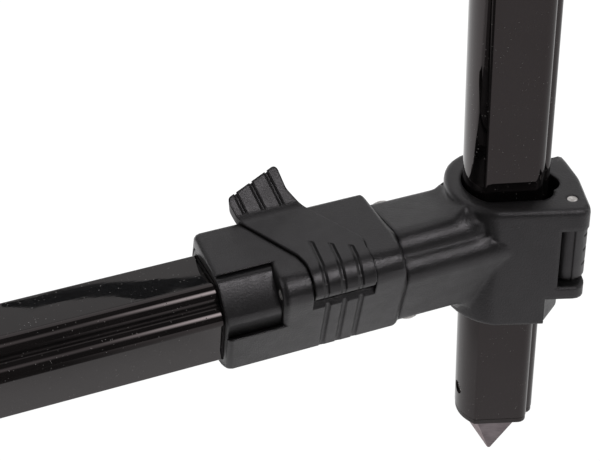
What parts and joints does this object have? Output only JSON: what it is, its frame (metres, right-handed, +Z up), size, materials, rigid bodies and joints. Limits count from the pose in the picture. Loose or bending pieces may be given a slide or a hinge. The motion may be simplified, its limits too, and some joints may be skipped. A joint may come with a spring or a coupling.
{
  "type": "rod pod corner",
  "caption": "Corner of a fishing rod pod: a grooved bar in a cam-lever socket and a spiked leg through a cam-lever collar.",
  "frame": {"origin": "centre of the bar's outer end face", "axes": "+X along the bar towards the head, +Z up along the leg, so -Y is the side the bar's lever and the leg's clamp are seen from"},
  "size_m": [0.3706, 0.0467, 0.3255],
  "materials": {
    "tube_metal": "gloss black anodised",
    "black_moulding": "fine-grained black moulding",
    "plug_plastic": "black",
    "shoe_plastic": "dark grey",
    "pad_rubber": "matt",
    "pin_steel": "plain",
    "spike_metal": "black"
  },
  "bodies": {
    "bar": {"bar_tube": "tube_metal", "bar_far_plug": "plug_plastic", "bar_inner_plug": "plug_plastic"},
    "head": {"head_body": "black_moulding", "clamp_housing": "black_moulding", "socket_liner": "black_moulding", "arm_screw_front": "pin_steel", "arm_screw_rear": "pin_steel", "bar_lever_pin": "pin_steel", "leg_lever_pin": "pin_steel"},
    "bar_lever": {"bar_lever": "black_moulding"},
    "bar_shoe": {"bar_shoe": "shoe_plastic", "bar_shoe_pad": "pad_rubber"},
    "leg_lever": {"leg_lever": "black_moulding"},
    "leg_shoe": {"leg_shoe": "shoe_plastic", "leg_shoe_pad": "pad_rubber"},
    "leg": {"leg_tube": "tube_metal", "leg_top_cap": "plug_plastic", "leg_spike": "spike_metal", "spike_pin": "pin_steel"}
  },
  "joints": [
    {"name": "head_slide", "type": "slide", "parent": "bar", "child": "head", "axis": [1, 0, 0], "range_m": [0, 0.02]},
    {"name": "bar_lever_hinge", "type": "hinge", "parent": "head", "child": "bar_lever", "pos_m": [0.2841, -0.01818, 0.01253], "axis": [1, 0, 0], "range_deg": [0, 110]},
    {"name": "bar_shoe_slide", "type": "slide", "parent": "head", "child": "bar_shoe", "axis": [0, -0.7716, 0.6361], "range_m": [0, 0.0003]},
    {"name": "leg_lever_hinge", "type": "hinge", "parent": "head", "child": "leg_lever", "pos_m": [0.35617, -0.0177, 0.00225], "axis": [0, 0, -1], "range_deg": [0, 110]},
    {"name": "leg_shoe_slide", "type": "slide", "parent": "head", "child": "leg_shoe", "axis": [0.6561, -0.7547, 0], "range_m": [0, 0.0003]},
    {"name": "leg_slide", "type": "slide", "parent": "head", "child": "leg", "axis": [0, 0, 1], "range_m": [-0.21, 0.045]}
  ],
  "couplings": [
    {"joint": "bar_shoe_slide", "follows": "bar_lever_hinge", "m_per_rad": 0.00015626},
    {"joint": "leg_shoe_slide", "follows": "leg_lever_hinge", "m_per_rad": 0.00015626}
  ]
}
